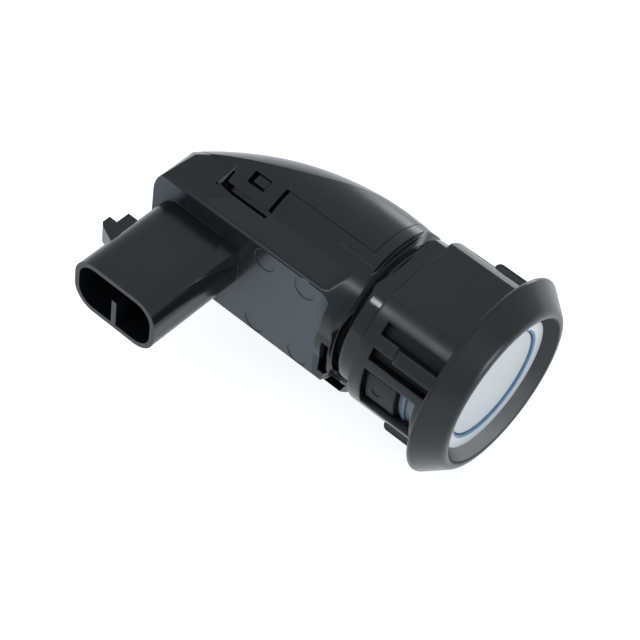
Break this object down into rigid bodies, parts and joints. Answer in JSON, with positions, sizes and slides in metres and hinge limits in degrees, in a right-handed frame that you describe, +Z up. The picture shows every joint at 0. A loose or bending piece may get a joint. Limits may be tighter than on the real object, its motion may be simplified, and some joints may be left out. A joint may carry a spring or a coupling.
{
  "type": "ultrasonic parking sensor",
  "caption": "Bumper-mounted ultrasonic parking sensor: round bezel with spring bars, elbow-shaped black housing with a lid, and a side connector socket.",
  "frame": {"origin": "centre of the bezel flange's rear face, which seats on the bumper's outer skin", "axes": "+X out of the bumper along the sensing axis, +Z up, the connector socket opens towards -Y"},
  "size_m": [0.0533, 0.042, 0.03],
  "materials": {
    "satin_black_plastic": "satin moulded",
    "matte_black_plastic": "fine matte grain",
    "silver_ring": "silver satin",
    "blue_silicone": "smooth matte",
    "painted_can": "satin painted",
    "piezo_ceramic": "silvered ceramic",
    "grey_foam": "cork and rubber",
    "clear_silicone": "soft silicone",
    "red_insulation": "insulated wire",
    "black_insulation": "insulated wire",
    "board_laminate": "solder-masked glass laminate",
    "ferrite": "sintered",
    "copper_winding": "enamelled wire",
    "chip_resin": "moulded resin",
    "capacitor_can": "drawn can",
    "capacitor_ceramic": "fired ceramic",
    "resonator_can": "plated can",
    "plated_terminal": "plated",
    "potting_resin": "cured resin"
  },
  "bodies": {
    "root": {"housing": "satin_black_plastic", "lid": "satin_black_plastic", "barrel": "satin_black_plastic", "bezel": "matte_black_plastic", "trim_ring": "silver_ring", "silicone_ring": "blue_silicone", "transducer_can": "painted_can", "piezo_disc": "piezo_ceramic", "damping_pad": "grey_foam", "can_seal": "clear_silicone", "lead_a": "red_insulation", "lead_b": "black_insulation", "circuit_board": "board_laminate", "choke_core": "ferrite", "choke_winding": "copper_winding", "control_chip": "chip_resin", "smoothing_capacitor": "capacitor_can", "chip_capacitor": "capacitor_ceramic", "resonator": "resonator_can", "pin_1": "plated_terminal", "pin_2": "plated_terminal", "pin_3": "plated_terminal", "pin_4": "plated_terminal", "potting": "potting_resin"}
  },
  "joints": []
}
